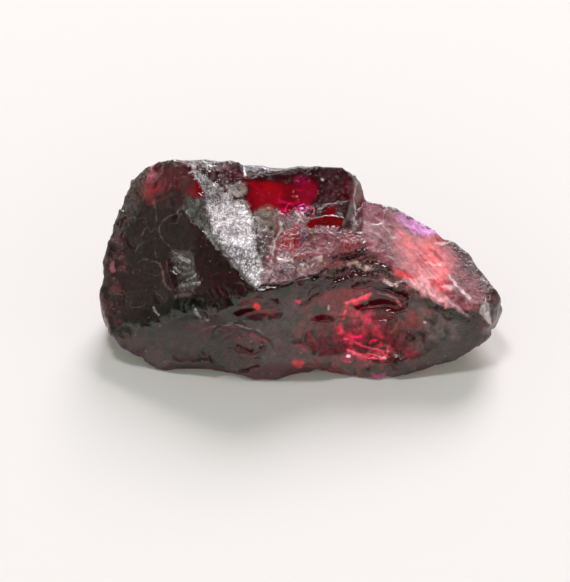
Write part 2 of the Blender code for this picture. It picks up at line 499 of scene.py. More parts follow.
# a later area lies over an earlier one
areas = {
    "left face": area([(100, 200), (150, 208), (204, 205), (215, 247), (256, 290), (240, 300),
        (190, 305), (150, 322), (118, 335), (98, 290)], 8, (52, 14, 16), (28, 17, 18), haze=0.14,
        grit=0.12, foil=0.2),
    "left face red": area([(183, 205), (200, 215), (250, 288), (205, 300), (196, 270)], 7,
        (46, 14, 20), (30, 15, 17), haze=0.1, grit=0.1, amount=0.8, patchy=0.3, foil=0.15),
    "left face hair": area([(128, 205), (200, 205), (206, 250), (190, 300), (140, 318), (112, 300),
        (112, 240)], 10, hair=1.0),
    "shell ground": area([(173, 252), (184, 254), (195, 263), (200, 284), (184, 290), (175, 274)],
        5, (84, 78, 76), (56, 50, 48), haze=0.25, grit=1.0, patchy=0.8, foil=1.0),
    "left face foot red": area([(208, 272), (240, 272), (252, 292), (215, 296)], 6, (60, 14, 22),
        (34, 4, 10), patchy=0.6),
    "left face low": area([(118, 322), (150, 306), (180, 300), (215, 300), (244, 300), (205, 315),
        (160, 322), (124, 334)], 7, (26, 12, 12), (8, 5, 5), haze=0.12, foil=0.1, hair=0.4,
        patchy=0.2),
    "left rim": area([(98, 225), (122, 230), (128, 262), (122, 290), (125, 325), (102, 315)], 6,
        (90, 36, 44), (58, 24, 28), haze=0.25, grit=0.7, patchy=1.1, foil=0.5),
    "left strip": area([(108, 222), (119, 185), (138, 170), (146, 180), (140, 205), (118, 240)], 4,
        (84, 60, 56), (46, 30, 29), haze=0.35, grit=0.9, patchy=0.9, foil=0.6, hair=0.9),
    "muted red": area([(158, 163), (190, 162), (200, 186), (203, 196), (188, 192), (166, 190),
        (156, 184)], 8, (110, 26, 38), (70, 16, 24), haze=0.25, grit=0.3, patchy=0.2, foil=0.15,
        hair=0.2),
    # the red and pink patches paint light shining through the thin upper corner, as tint and
    # painted light
    "red patch": area([(143, 183), (155, 180), (167, 186), (160, 200), (153, 206), (145, 200)], 8,
        (170, 36, 54), (104, 24, 34), haze=0.2, grit=0.6, patchy=0.5, foil=0.3),
    "pink patch": area([(143, 176), (148, 168), (158, 164), (160, 172), (153, 180), (145, 183)], 6,
        (230, 130, 160), (160, 66, 84), haze=0.3, grit=0.9, patchy=0.9),
    "red triangle": area([(191, 186), (199, 183), (203, 196), (191, 197)], 5, (150, 20, 30),
        (96, 6, 16), haze=0.06, grit=0.1, **clear),
    "top flakes": area([(160, 157), (236, 160), (245, 170), (222, 172), (196, 166), (165, 164)], 3,
        (96, 56, 52), (52, 28, 26), haze=0.5, grit=1.0, patchy=0.7, foil=0.7, hair=0.4),
    "block top": area([(236, 163), (350, 162), (356, 170), (330, 172), (240, 171)], 3, (40, 30, 30),
        (16, 12, 12), haze=0.5, grit=0.1),
    # these areas paint the top softbox's reflection on the stepped facet as a bright grey tint and
    # painted light, over its real reflection
    "reflection wing": area([(184, 207), (190, 199), (204, 196), (208, 207), (214, 226), (210, 236),
        (194, 221)], 2.5, (110, 112, 106), (62, 66, 60), haze=0.3, grit=1.0, patchy=0.5, foil=1.0),
    "reflection band": area([(208, 222), (214, 236), (227, 253), (241, 267), (254, 285), (258, 290),
        (247, 282), (236, 269), (225, 257), (214, 246), (206, 233)], 2, (110, 110, 106),
        (78, 78, 74), haze=0.3, grit=1.0, patchy=0.4, foil=1.0),
    "silver face": area(reflectionFace, 1.4, (160, 154, 156), (130, 125, 125), haze=0.25, grit=1.0,
        foil=1.0, warp=0.5),
    "reflection highlight": area([(213, 206), (228, 200), (242, 206), (252, 214), (254, 248), (241, 248),
        (226, 242), (217, 230), (210, 214)], 5, (205, 196, 200), (194, 187, 189), haze=0.25,
        foil=0.7),
    "reflection dip": area([(225, 225), (234, 223), (239, 231), (231, 238), (226, 234)], 4,
        (150, 144, 146), (112, 108, 108), amount=0.8),
    "reflection tip": area([(248, 272), (262, 264), (262, 286), (256, 288)], 3, (200, 192, 196),
        (170, 166, 166), foil=0.8),
    "window edge": area([(205, 170), (245, 170), (250, 190), (236, 200), (215, 187)], 3,
        (100, 22, 28), (50, 9, 14), haze=0.15, grit=0.7, patchy=0.5, foil=0.3, hair=0.2),
    "window top": area([(236, 165), (346, 167), (346, 177), (318, 180), (291, 182), (262, 180),
        (240, 180)], 4, (60, 12, 18), (38, 5, 9), haze=0.15, grit=0.1, patchy=0.5, foil=0.1,
        hair=0.0),
    "pale patch": area([(228, 186), (238, 184), (247, 185), (246, 192), (240, 195), (234, 197),
        (229, 192)], 3, (190, 176, 158), (106, 98, 86), haze=0.4, grit=1.0, patchy=0.5, foil=0.8),
    # the window areas paint, as emission, the red light that comes through the block, with its
    # magenta highlights
    "window": area([(247, 183), (262, 180), (291, 184), (318, 180), (317, 192), (307, 201),
        (298, 206), (286, 213), (262, 213), (250, 209), (243, 201), (250, 192)], 5, (210, 30, 50),
        (96, 3, 14), haze=0.02, grit=0.03, lively=0.15, **clear),
    "window heart": area([(254, 186), (282, 188), (280, 208), (258, 207)], 8, (230, 40, 50),
        (126, 4, 18), haze=0.02, grit=0.03, lively=0.15, **clear),
    "window magenta": area([(300, 186), (318, 180), (318, 202), (308, 206), (298, 200)], 8,
        (220, 40, 80), (116, 6, 30), haze=0.02, amount=0.8, lively=0.2, **clear),
    "magenta glow": area([(291, 181), (299, 176), (309, 177), (308, 184), (296, 185)], 4,
        (220, 40, 110), (104, 6, 40), haze=0.05, patchy=0.6),
    "window veins": area([(262, 196), (300, 190), (318, 196), (316, 220), (290, 216), (262, 212)],
        5, (255, 60, 110), (150, 10, 54), haze=0.03, veins=0.7, veinWidth=0.16, patchy=0.8,
        **clear),
    "window shade": area([(300, 168), (346, 168), (350, 226), (332, 232), (312, 226), (310, 205),
        (318, 192)], 5, (70, 16, 24), (26, 5, 9), haze=0.12, grit=0.6, patchy=0.2, lively=0.3,
        foil=0.2, hair=0.1),
    "shade flakes": area([(318, 168), (338, 168), (338, 203), (326, 208), (313, 202), (317, 190)],
        7, (90, 20, 28), (44, 10, 15), haze=0.16, grit=0.5, patchy=0.7, foil=0.3, hair=0.15),
    "shade bars": area([(338, 168), (349, 170), (350, 230), (344, 228), (338, 204)], 3,
        (110, 50, 58), (56, 16, 22), haze=0.12, grit=0.5, patchy=0.6, foil=0.2, hair=0.1),
    "shade stripe": area([(342, 194), (347, 196), (348, 230), (343, 228)], 2, (50, 8, 14),
        (30, 4, 8), haze=0.1, patchy=0.2),
    "column": area([(347, 182), (362, 182), (366, 215), (362, 236), (349, 236)], 2, (130, 60, 72),
        (80, 34, 41), haze=0.1, grit=0.3, patchy=0.2, foil=0.25, hair=0.15),
    "column foot": area([(348, 205), (354, 205), (356, 232), (349, 234)], 3, (110, 84, 88),
        (56, 40, 44), haze=0.3, grit=0.3),
    "column head": area([(348, 165), (357, 167), (363, 184), (355, 185), (350, 177)], 2,
        (130, 122, 122), (96, 88, 88), haze=0.3, grit=0.4),
    "beige": area([(256, 209), (268, 206), (279, 212), (280, 224), (272, 236), (258, 236)], 4,
        (140, 120, 104), (104, 92, 80), haze=0.4, grit=1.0, patchy=0.4, foil=0.7),
    "beige foot": area([(257, 232), (275, 232), (273, 256), (260, 258)], 4, (110, 64, 64),
        (60, 34, 34), haze=0.35, grit=0.8, patchy=0.4),
    "middle": area(middleFace, 5, (140, 60, 70), (110, 52, 59), haze=0.32, grit=0.8, patchy=0.3,
        foil=0.6, hair=1.0),
    "middle red": area([(276, 250), (284, 232), (300, 224), (302, 240), (296, 252)], 3,
        (170, 50, 60), (116, 30, 38), haze=0.15, grit=0.2),
    "middle plum": area([(280, 216), (296, 216), (296, 226), (281, 228)], 3, (120, 60, 76),
        (76, 32, 44), haze=0.2, grit=0.2),
    "rainbow blue": area([(298, 238), (304, 228), (309, 231), (302, 242)], 5, (70, 70, 100),
        (34, 40, 62), haze=0.15, amount=0.8),
    "rainbow gold": area([(308, 236), (314, 228), (318, 234), (311, 242)], 3, (150, 90, 40),
        (90, 56, 34), haze=0.2, amount=0.7),
    "plum shelf": area([(266, 262), (296, 262), (294, 276), (270, 280)], 3, (120, 90, 100),
        (84, 58, 66), haze=0.3, grit=0.2),
    "middle foot": area([(262, 264), (310, 258), (330, 262), (320, 272), (290, 282), (264, 286)], 4,
        (140, 104, 104), (116, 86, 88), haze=0.35, grit=1.0, patchy=0.4, foil=1.0),
    "rose step": area([(338, 238), (358, 238), (360, 250), (342, 252)], 3, (160, 60, 72),
        (108, 34, 44), haze=0.25, grit=0.6),
    "ledges": area([(318, 258), (350, 250), (385, 262), (402, 282), (360, 280), (322, 280)], 4,
        (130, 76, 76), (98, 56, 56), haze=0.3, grit=1.0, patchy=0.9, foil=0.7),
    # red light seen through the block, painted as tint and emission
    "deep triangle": area([(311, 227), (320, 222), (323, 215), (328, 209.5), (336, 210), (338, 226),
        (319, 228)], 2.5, (230, 20, 30), (74, 3, 10), haze=0.08, grit=0.0, patchy=0.1, lively=0.2,
        **clear),
    # the slope's glow paints its pink body and part of the whitish sheen of a soft light on it
    "slope": area(slopeFace, 4, (150, 70, 84), (124, 68, 76), haze=0.4, grit=0.4, patchy=0.25,
        streak=1.0, hair=0.8, foil=0.2),
    "slope top": area([(364, 202), (388, 208), (396, 222), (380, 220), (366, 214)], 4,
        (170, 60, 90), (112, 36, 56), haze=0.3, grit=0.5, patchy=0.3),
    "slope right": area([(446, 242), (462, 256), (486, 286), (482, 308), (462, 296), (452, 276),
        (450, 258)], 5, (110, 44, 56), (112, 54, 62), haze=0.3, grit=0.8, patchy=0.5),
    "slope rim": area([(440, 234), (470, 256), (500, 286), (486, 292), (466, 268), (444, 246)], 3,
        (84, 62, 64), (62, 34, 38), haze=0.3, grit=0.8, patchy=0.5),
    # the coral areas paint light shining through thin parts of the slope, as pale tint and painted
    # light
    "coral veil": area([(396, 232), (412, 234), (440, 240), (450, 262), (450, 280), (440, 300),
        (420, 292), (396, 274), (406, 262), (398, 246)], 16, (220, 120, 126), (182, 90, 98),
        haze=0.5, foil=0.1),
    "coral one": area([(399, 235), (408, 236), (420, 246), (412, 250), (400, 244)], 8,
        (250, 110, 110), (210, 84, 92), haze=0.5, patchy=0.2),
    "coral two": area([(424, 240), (436, 241), (441, 250), (448, 264), (449, 276), (444, 288),
        (436, 292), (431, 277), (427, 264), (421, 252)], 10, (255, 120, 120), (216, 84, 92),
        haze=0.5, patchy=0.15, foil=0.1),
    "coral three": area([(393, 271), (404, 272), (416, 280), (414, 286), (402, 279)], 6,
        (255, 110, 110), (224, 56, 66), haze=0.5),
    "rose fade": area([(404, 280), (420, 278), (440, 292), (448, 306), (436, 302), (418, 292)], 5,
        (240, 170, 176), (226, 158, 164), haze=0.5),
    "lilac": area([(392, 211), (404, 213), (411, 216), (425, 224), (438, 233), (431, 236),
        (417, 233), (406, 226), (399, 220)], 3, (235, 160, 225), (190, 104, 172), haze=0.35,
        grit=0.5, patchy=0.3, foil=0.3),
    "lilac bright": area([(420, 227), (430, 229), (438, 233), (428, 235)], 2, (245, 200, 240),
        (214, 138, 206), haze=0.35),
    # the light grey of the nose facet is a painted sheen, where the facet mirrors the studio light
    "nose facet": area([(481, 303), (490, 303), (491, 324), (485, 320), (480, 314)], 2,
        (190, 180, 180), (152, 144, 142), haze=0.35, grit=0.6),
    "nose end": area([(491, 300), (502, 300), (502, 326), (494, 334), (490, 322)], 2, (70, 26, 32),
        (34, 10, 14), haze=0.2, grit=0.9, patchy=0.5),
    "nose cheek": area([(478, 326), (490, 324), (494, 334), (482, 340), (474, 340)], 3,
        (140, 112, 118), (84, 66, 70), haze=0.3, grit=0.7, patchy=0.3),
    "front": area(frontFace, 5, (44, 24, 24), (12, 10, 9), haze=0.14, grit=0.4, patchy=0.3,
        foil=0.2, hair=0.15),
    "front left red": area([(110, 335), (150, 335), (200, 345), (196, 366), (150, 364), (118, 350)],
        6, (80, 28, 34), (40, 22, 23), grit=0.6, patchy=0.9),
    # the greyish glow of these two areas is a painted sheen over the floor's reflection on the
    # front
    "front mid": area([(255, 300), (330, 296), (336, 364), (262, 372), (250, 340)], 18,
        (60, 40, 40), (52, 42, 42), haze=0.2, patchy=0.3, foil=0.15, hair=0.1),
    "front right warm": area([(400, 300), (440, 312), (462, 330), (450, 352), (410, 364),
        (392, 340)], 10, (80, 34, 34), (80, 60, 59), haze=0.2, grit=0.6, patchy=0.6, foil=0.2,
        hair=0.2),
    # these areas paint the red light that comes through the front, around its curls, as tint and
    # painted light
    "curl veil": area([(326, 308), (345, 300), (384, 312), (396, 345), (386, 364), (340, 364),
        (322, 340)], 14, (96, 60, 60), (80, 44, 48), haze=0.3, patchy=0.4, foil=0.2, hair=0.2),
    "curl zone": area([(334, 306), (352, 302), (368, 310), (384, 336), (392, 352), (376, 364),
        (344, 360), (334, 334)], 8, (190, 40, 62), (182, 46, 66), haze=0.25, veins=0.55,
        veinWidth=0.2),
    "front veins": area([(300, 302), (345, 294), (388, 302), (404, 318), (398, 356), (356, 370),
        (300, 362)], 10, (190, 34, 50), (118, 48, 58), haze=0.2, veins=0.4, veinWidth=0.06,
        patchy=0.7),
    "front mottle": area([(290, 300), (345, 292), (392, 300), (412, 320), (404, 352), (360, 374),
        (292, 368)], 14, (110, 28, 38), (88, 30, 38), haze=0.14, grit=0.4, patchy=0.8, amount=0.7),
    # painted shade inside the pit
    "front pit": area([(170, 300), (200, 296), (206, 314), (182, 320)], 5, (4, 3, 3), haze=0.1),
    "front chips": area([(200, 326), (235, 322), (268, 336), (262, 362), (226, 366), (204, 352)], 6,
        (54, 30, 28), (16, 8, 8), haze=0.25, grit=0.9, patchy=0.8),
    "red band": area([(240, 300), (262, 297), (280, 302), (276, 316), (246, 318)], 5, (110, 12, 20),
        (66, 6, 12), haze=0.08, patchy=0.4),
    "dark red": area([(313, 316), (322, 313), (331, 314), (334, 319), (324, 323), (315, 321)], 3,
        (90, 6, 16), (60, 3, 12), haze=0.02, **clear),
    # the smear, leaf and red cheek paint more of the red light through the front
    "smear": area([(318, 298), (332, 290), (352, 287), (372, 288), (360, 298), (334, 306)], 8,
        (170, 24, 34), (96, 18, 28), haze=0.1, patchy=0.3),
    "leaf": area([(345, 306), (352, 301), (363, 296), (374, 294), (369, 299), (356, 304)], 2,
        (250, 50, 60), (222, 36, 62), haze=0.06, **clear),
    "lens": area([(352, 307), (366, 301), (383, 295), (397, 299), (408, 294), (407, 307),
        (394, 314), (385, 308), (366, 311)], 2, (100, 4, 18), (44, 1, 9), haze=0.0, lively=0.2,
        **clear),
    "red cheek": area([(357, 311), (368, 311), (374, 320), (366, 324), (358, 318)], 4,
        (220, 60, 76), (166, 36, 66), haze=0.15, patchy=0.3),
    "right mottle": area([(403, 313), (416, 312), (420, 326), (408, 328)], 5, (150, 50, 54),
        (104, 30, 34), haze=0.2, patchy=0.3),
    "right magenta": area([(404, 349), (416, 348), (418, 360), (406, 362)], 5, (160, 40, 70),
        (108, 24, 44), haze=0.2, patchy=0.5),
    "foot magenta": area([(372, 373), (383, 372), (383, 377), (374, 378)], 3, (180, 60, 130),
        (124, 36, 88), haze=0.2, patchy=0.3),
    "foot red": area([(292, 361), (303, 361), (304, 366), (293, 366)], 3, (190, 40, 50),
        (148, 28, 38), haze=0.2),
    "foot flange": area([(230, 364), (290, 364), (322, 368), (318, 376), (262, 378)], 3,
        (60, 8, 14), (40, 4, 8), haze=0.12, grit=0.4, patchy=0.4),
    "right foot": area([(430, 340), (486, 336), (470, 356), (420, 372), (384, 380), (400, 362)], 5,
        (44, 20, 20), (34, 16, 16), haze=0.2, grit=0.8, patchy=0.6),
}

cracks = [
    [(154, 200), (155, 211), (157, 221)],
    [(187, 197), (182, 208), (175, 215), (164, 220), (160, 228), (161, 236), (166, 243), (174, 251),
     (177, 256)],
    [(144, 258), (152, 262), (160, 263), (165, 273), (163, 283), (171, 290)],
    [(147, 228), (141, 235)],
    [(140, 245), (136, 252)],
    [(156, 250), (158, 258)],
]

marks = {
    **{f"crack {turn}": line(at, 1.1, (120, 104, 102), (84, 70, 68), patchy=0.5)
       for turn, at in enumerate(cracks)},
    "rim ring": line([(160, 160), (164, 165), (161, 172), (154, 181)], 2.4, (150, 110, 120),
        (74, 50, 56), dig=0.05),
    "rim scratch": line([(111, 259), (124, 257)], 1.4, (120, 90, 90), (60, 44, 46)),
    "rim pink": line([(113, 263), (112, 268), (113, 271)], 5, (220, 150, 160), (120, 66, 78)),
    "rim curl": line([(111, 239), (121, 239)], 1.6, (120, 60, 70), (70, 30, 38)),
    "low scratch": line([(153.6, 306.7), (159, 315.6)], 1.1, (140, 130, 130), (150, 140, 138)),
    # the shell lines draw the ripples of shell-like breaks with painted highlights on their crests,
    # over small real treads
    "shell one": line([(181, 256.5), (185, 260), (189, 262)], 4.4, (150, 150, 148), (156, 152, 146),
        haze=0.2, grit=0.8, tread=0.14, foil=1.0, patchy=0.5),
    "shell one ends": line([(176.5, 253), (181, 257), (188, 261.5), (193.5, 264.5)], 1.8,
        (130, 130, 128), (100, 96, 92), haze=0.2, foil=1.0, patchy=0.5),
    "shell two top": line([(175, 267), (180, 266), (187, 268), (193.5, 271)], 1.4, (120, 122, 120),
        (96, 92, 88), haze=0.2, foil=1.0, patchy=0.9),
    "shell two": line([(175, 267), (179, 271), (184, 275), (190, 274), (193.5, 271)], 2.0,
        (130, 130, 128), (124, 120, 114), haze=0.2, tread=0.12, foil=1.0, patchy=0.8),
    "shell streak": line([(188, 280), (192, 277.5), (196, 274.5)], 1.7, (150, 150, 148),
        (134, 130, 124), haze=0.2, patchy=0.3, foil=1.0),
    "shell four": line([(181, 286), (188, 285), (195, 283), (200, 283)], 3.2, (130, 130, 128),
        (112, 108, 104), haze=0.2, grit=0.8, tread=0.12, foil=1.0, patchy=0.7),
    "shell five": line([(177, 297), (184, 295), (191, 295)], 4, (80, 60, 64), (66, 50, 52),
        haze=0.3, patchy=0.5),
    "pink hair one": line([(160, 263), (163, 270), (165, 278), (164.5, 286), (168, 289),
        (172, 290)], 1.3, (140, 100, 100), (98, 64, 66), patchy=0.3),
    "pink hair two": line([(166, 262), (168, 272), (172, 284), (176, 290)], 0.9, (130, 80, 84),
        (86, 46, 50), patchy=0.3),
    # painted highlights on the flakes in the pit
    "pit flakes": line([(194, 306), (197, 312), (201, 317), (208, 320)], 2.6, (150, 150, 146),
        (140, 140, 134), haze=0.3, foil=1.0, patchy=0.9),
    # a painted glint
    "bright speck": line([(193.6, 166.6), (194.4, 167)], 3.4, (255, 240, 245), (250, 220, 230)),
    "crest": line([(208, 166), (225, 167), (236, 174), (246, 178)], 2.4, (170, 90, 100),
        (96, 44, 52), patchy=0.4),
    # a painted highlight along the edge of the reflecting wing
    "wing edge": line([(186, 211), (194, 221), (206, 233), (216, 247), (228, 257), (238, 269)], 1.3,
        (150, 150, 146), (134, 134, 128), patchy=0.8),
    # the magenta, red and white rings and strokes in the window are painted highlights, and the
    # bubbles are drawn as small painted glints
    "magenta slash": line([(289, 204), (287, 208), (285, 212)], 1.4, (255, 60, 140),
        (236, 26, 104)),
    "magenta ring": line([(296, 211), (298, 206), (304, 205), (308, 208), (304, 212), (298, 212)],
        1.0, (255, 90, 170), (232, 50, 140)),
    "magenta heart": line([(301, 208.4), (303, 208.8)], 1.8, (255, 200, 240), (255, 150, 226)),
    "red arcs": line([(308, 205), (313, 209), (313, 214), (308, 217)], 0.9, (255, 40, 60),
        (170, 14, 40)),
    "red spots": line([(264, 208), (269, 209), (273, 207)], 2.0, (255, 60, 90), (212, 34, 62),
        patchy=0.4),
    "white ring": line([(295, 213), (299, 215), (301, 219), (297, 221)], 1.3, (230, 220, 216),
        (168, 158, 152), dig=0.04),
    "bubble one": line([(293, 192), (293.6, 192)], 1.6, None, (180, 120, 130)),
    "bubble two": line([(297, 196), (297.6, 196)], 1.6, None, (180, 120, 130)),
    "bubble three": line([(293, 196), (293.6, 196.4)], 1.6, None, (150, 80, 90)),
    # a painted glint
    "block speck": line([(322, 180), (322.8, 180.6)], 2, None, (190, 150, 150)),
    "column line": line([(356, 183), (354, 200), (354.5, 221), (357, 227)], 1.1, (210, 190, 196),
        (150, 128, 134), dig=-0.05),
    "head line": line([(343, 167), (347, 170), (350, 176)], 1.8, (190, 180, 180), (124, 114, 114),
        dig=-0.04),
    "window foot": line([(334, 203), (325, 206), (318, 209)], 2, (80, 30, 36), (40, 12, 16)),
    "blade": line([(318, 210), (327, 206), (337, 203)], 1.3, (120, 90, 98), (112, 66, 76)),
    # the same painted red light through the block, over a small real tread
    "triangle foot": line([(340, 222), (332, 221.5), (322, 221), (311, 224)], 8, (230, 20, 30),
        (78, 3, 10), haze=0.1, grit=0.0, tread=0.36, **clear),
    "white crack": line([(279, 221), (281, 232), (274, 242), (274, 252)], 2.0, (220, 210, 204),
        (150, 140, 136), dig=-0.05),
    "middle streak one": line([(302, 266), (310, 262), (320, 258)], 3.6, (200, 180, 174),
        (176, 158, 150), dig=-0.05, patchy=0.6, foil=0.9),
    "middle streak two": line([(277, 258), (284, 261), (291, 260)], 2.6, (200, 180, 160),
        (160, 144, 130), dig=-0.05, patchy=0.4, foil=0.9),
    "middle streak three": line([(294, 262), (300, 250), (304, 246)], 1.8, (170, 110, 110),
        (98, 60, 60), patchy=0.3),
    "middle streak four": line([(304, 270), (312, 264), (320, 262)], 2.4, (210, 190, 184),
        (160, 140, 134), patchy=0.5, foil=0.9),
    # the dark ledges are painted shade in the grooves under the ledges
    "dark ledge": line([(319, 274), (334, 263.5), (351, 257), (366, 253)], 3.4, (20, 4, 6),
        (10, 1, 2), dig=0.16),
    "middle step": line([(334, 258), (350, 254.5), (364, 250)], 4.5, tread=0.25, **wine),
    "dark ledge two": line([(336, 274), (350, 270), (366, 272), (378, 270)], 2.6, (50, 6, 16),
        (30, 3, 9), dig=0.12),
    "ledge crack three": line([(343, 267), (356, 261), (376, 255)], 2.0, (50, 6, 16), (32, 3, 9),
        patchy=0.3),
    "ledge crack four": line([(323, 287), (338, 279), (356, 272), (380, 270), (400, 282)], 2.6,
        (50, 6, 16), (30, 3, 9), patchy=0.5),
    "brow step one": line([(328, 286), (342, 279), (358, 275), (378, 277)], 5, tread=0.3, **wine),
    "brow step two": line([(352, 287), (368, 283), (386, 287), (404, 296)], 5, tread=0.3, **wine),
    "brow step three": line([(366, 262), (378, 264), (392, 272)], 4, tread=0.25, **wine),
    "front step one": line([(300, 304), (311, 299), (320, 292)], 4, tread=0.25, **wine),
    "front step two": line([(330, 279), (338, 273), (346, 269)], 4, tread=0.25, **wine),
    "chip step": line([(238, 347), (251, 351), (265, 347)], 5, tread=0.3, **wine),
    "ledge light": line([(348, 264), (356, 262), (364, 266)], 4, (210, 180, 172), (150, 122, 116),
        haze=0.4, grit=1.0, patchy=0.6),
    "ledge rose": line([(322, 268), (330, 266), (342, 262)], 4, (190, 120, 120), (116, 60, 62),
        haze=0.35, grit=0.8, patchy=0.4),
    "ledge flakes": line([(357, 266), (366, 268), (376, 266)], 5, (220, 190, 186), (186, 156, 152),
        haze=0.4, grit=1.0, foil=1.0, patchy=0.6),
    "ledge flakes two": line([(384, 281), (396, 286)], 3.4, (220, 190, 186), (186, 160, 156),
        haze=0.4, grit=1.0, foil=1.0, patchy=0.6),
    # painted shade along the groove of the brow
    "brow dark": line([(262, 286), (282, 286), (296, 280), (313, 275), (326, 277)], 2.6, (10, 3, 4),
        dig=0.08, patchy=0.3),
    # the ridge: painted shade below it and a painted highlight on its crest
    "ridge dark": line([(384, 272), (404, 284), (424, 298), (446, 311), (472, 320)], 3.4,
        (14, 4, 6), dig=0.05, patchy=0.5),
    "ridge light": line([(386, 269), (406, 281), (426, 295), (448, 308), (470, 317)], 1.8,
        (190, 150, 154), (112, 84, 86), patchy=0.7),
    "flake light": line([(395, 283), (402, 281), (408, 280)], 2.6, (230, 200, 200), (150, 124, 124),
        patchy=0.3),
    "white scratch": line([(448, 276), (458, 288), (469, 298)], 2.2, (245, 230, 232),
        (214, 184, 190), dig=0.03),
    "scratch two": line([(452, 304), (463, 313)], 1.5, (220, 190, 196), (160, 128, 134)),
    "scratch three": line([(376, 218), (386, 228), (392, 238)], 1.6, (210, 170, 176),
        (150, 112, 118), patchy=0.4),
    "scratch four": line([(366, 228), (382, 238), (398, 256)], 1.6, (200, 160, 166),
        (140, 104, 110), patchy=0.6),
    "scratch five": line([(440, 296), (450, 304), (458, 312)], 1.6, (220, 180, 186),
        (158, 118, 126), patchy=0.4),
    "coral fleck": line([(426, 262), (432, 266), (440, 264)], 2.4, (255, 180, 180), (248, 140, 140),
        patchy=0.4),
    "nose streak": line([(482, 304), (485, 314), (490, 324)], 1.6, (230, 224, 224),
        (170, 160, 160)),
    "leaf tip": line([(346, 303), (357, 299), (370, 294)], 2.2, (255, 60, 66), (238, 76, 100)),
    "lens edge": line([(378, 293), (387, 295), (395, 299), (401, 306)], 1.3, (230, 120, 130),
        (150, 84, 84), dig=-0.04),
    "lens step": line([(356, 308), (370, 307), (384, 309), (396, 312), (405, 306)], 6, tread=0.38),
    "lens step two": line([(370, 303), (384, 301), (396, 304), (406, 299)], 6, tread=0.38),
    "lens glint": line([(360, 309), (372, 306), (384, 307)], 1.2, (160, 60, 70), (128, 40, 50),
        patchy=0.4),
    # the curls paint the red light through the inner cracks of the front as bright red painted
    # light
    "curl one": line([(346, 311), (342, 318), (339, 325), (343, 332), (352, 337), (360, 337)], 2.4,
        (255, 50, 76), (214, 40, 68), patchy=0.5),
    "curl two": line([(343, 339), (352, 340), (363, 346), (374, 349), (383, 353)], 1.8,
        (255, 50, 76), (232, 64, 90), patchy=0.5),
    "curl ring": line([(369, 343), (374, 339), (380, 340), (380, 344), (373, 346)], 1.8,
        (255, 40, 66), (226, 30, 60), patchy=0.5),
    "curl three": line([(346, 349), (357, 354), (369, 358), (380, 358), (387, 353), (388, 346)],
        1.8, (255, 60, 80), (232, 70, 92), patchy=0.5),
    "curl four": line([(352, 354), (369, 354), (385, 358)], 1.3, (255, 60, 80), (214, 60, 82),
        patchy=0.5),
    "curl magenta": line([(351, 336), (357, 337), (361, 337)], 2, (255, 50, 120), (224, 26, 92)),
    "bubble ring": line([(344, 353), (347, 351.5), (350, 353), (350, 356), (347, 358), (344, 356.5),
        (344, 353)], 1.8, (160, 10, 60), (140, 10, 56)),
    # a painted glint at the bubble's heart
    "bubble heart": line([(346.6, 354.8), (347.4, 355)], 2.4, (255, 220, 240), (250, 200, 230)),
    "bubble foot": line([(345, 361), (350, 361)], 1.8, (230, 60, 100), (190, 40, 76)),
    "amber one": line([(402, 319), (396, 325), (391, 333)], 2.2, (150, 130, 100), (88, 74, 56),
        patchy=0.5),
    "amber two": line([(394, 355), (396, 356)], 3, (160, 140, 110), (92, 78, 60), patchy=0.2),
    # a painted glint
    "front speck": line([(424, 321.6), (425, 322)], 2.2, None, (230, 170, 180)),
    "dark red step": line([(314, 320), (322, 318), (332, 319)], 6, tread=0.38),
    "front small": line([(423, 309), (429, 313)], 3, (180, 60, 80), (116, 34, 48), patchy=0.3),
    "magenta dot": line([(297, 301), (299, 302)], 3, (220, 40, 90), (180, 30, 70)),
    "red band step": line([(238, 314), (252, 309), (266, 304), (276, 302)], 7, (60, 6, 14),
        (26, 2, 7), tread=0.3, haze=0.08, patchy=0.2, **clear),
    "red dot": line([(256, 306), (258, 307.5)], 6.5, (240, 30, 40), (214, 14, 28), haze=0.06,
        **clear),
    # the front curves draw a shell-like break with painted shade lines and a painted highlight edge
    # and glint beside them
    "front curve one": line([(201, 338), (206, 353), (222, 363), (242, 369), (262, 368)], 1.8,
        (14, 8, 8), (12, 7, 7), patchy=0.5),
    "front curve two": line([(203, 331), (230, 326), (256, 331), (270, 341), (276, 354)], 1.6,
        (14, 8, 8), (12, 7, 7), patchy=0.5),
    "front curve three": line([(214, 340), (232, 337), (248, 343), (256, 354)], 1.4, (14, 8, 8),
        (12, 7, 7), patchy=0.5),
    "front curve light": line([(204, 329), (230, 324), (256, 329), (271, 339)], 1.3,
        (120, 106, 104), (96, 84, 82), patchy=0.9),
    "front curve glint": line([(252, 335), (258, 337), (264, 341)], 3.4, (150, 50, 60),
        (104, 32, 40), patchy=0.5),
    # a painted glint
    "white tick": line([(328, 306), (329, 310)], 1.6, None, (170, 140, 140)),
}

